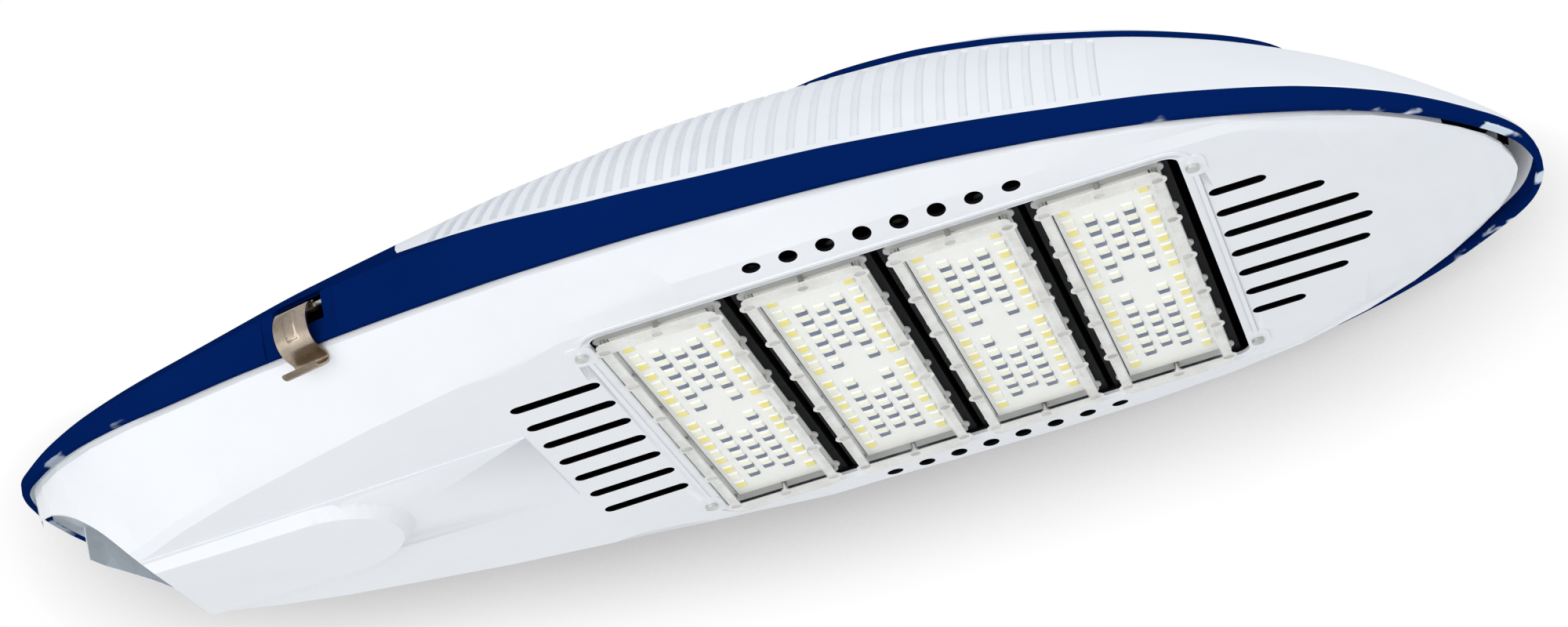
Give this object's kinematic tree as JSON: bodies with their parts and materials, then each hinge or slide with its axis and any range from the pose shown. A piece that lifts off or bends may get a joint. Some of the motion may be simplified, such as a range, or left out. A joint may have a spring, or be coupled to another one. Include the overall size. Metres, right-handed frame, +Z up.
{
  "type": "led street light head",
  "caption": "Boat-shaped street light head with a ribbed white dome over a dark blue rim, a swing-down lower cover with LED modules, a side spring latch and a pole clamp.",
  "frame": {"origin": "middle of the pole socket, on the axis of the pole", "axes": "+X from the pole towards the nose, +Y to the side without the latch, +Z up, lenses down"},
  "size_m": [0.867, 0.4202, 0.1731],
  "materials": {
    "housing_paint": "gloss",
    "cover_paint": "semi gloss",
    "steel_pins": "ground",
    "spring_steel": "tarnished",
    "cast_clamp": "cast",
    "zinc_steel": "zinc plated",
    "bolt_steel": "zinc plated",
    "screw_steel": "plain",
    "driver_case": "anodised",
    "surge_case": "matte",
    "terminal_plastic": "semi gloss",
    "heatsink_alu": "anodised",
    "board_white": "solder mask",
    "led_phosphor": "phosphor",
    "seal_rubber": "matte",
    "lens_clear": "clear gloss"
  },
  "bodies": {
    "head": {"upper_housing": "housing_paint", "hinge_pin": "steel_pins", "latch_pin": "steel_pins", "pole_saddle": "cast_clamp", "pole_strap": "zinc_steel", "clamp_bolts": "bolt_steel", "driver_tray": "zinc_steel", "tray_screws": "screw_steel", "led_driver": "driver_case", "driver_screws": "screw_steel", "surge_protector": "surge_case", "terminal_block": "terminal_plastic"},
    "cover": {"lower_cover": "cover_paint", "module_frame": "zinc_steel", "frame_screws": "screw_steel", "module_screws": "screw_steel", "heatsink_1": "heatsink_alu", "led_board_1": "board_white", "led_chips_1": "led_phosphor", "seal_1": "seal_rubber", "lens_plate_1": "lens_clear", "lens_screws_1": "screw_steel", "heatsink_2": "heatsink_alu", "led_board_2": "board_white", "led_chips_2": "led_phosphor", "seal_2": "seal_rubber", "lens_plate_2": "lens_clear", "lens_screws_2": "screw_steel", "heatsink_3": "heatsink_alu", "led_board_3": "board_white", "led_chips_3": "led_phosphor", "seal_3": "seal_rubber", "lens_plate_3": "lens_clear", "lens_screws_3": "screw_steel", "heatsink_4": "heatsink_alu", "led_board_4": "board_white", "led_chips_4": "led_phosphor", "seal_4": "seal_rubber", "lens_plate_4": "lens_clear", "lens_screws_4": "screw_steel"},
    "latch": {"side_latch": "spring_steel"}
  },
  "joints": [
    {"name": "cover_hinge", "type": "hinge", "parent": "head", "child": "cover", "pos_m": [0.716, 0, -0.0196], "axis": [0, -1, 0], "range_deg": [0, 60]},
    {"name": "latch_pivot", "type": "hinge", "parent": "head", "child": "latch", "pos_m": [0.10016, -0.17694, 0.023], "axis": [-0.9677, 0.2521, 0], "range_deg": [0, 60]}
  ]
}
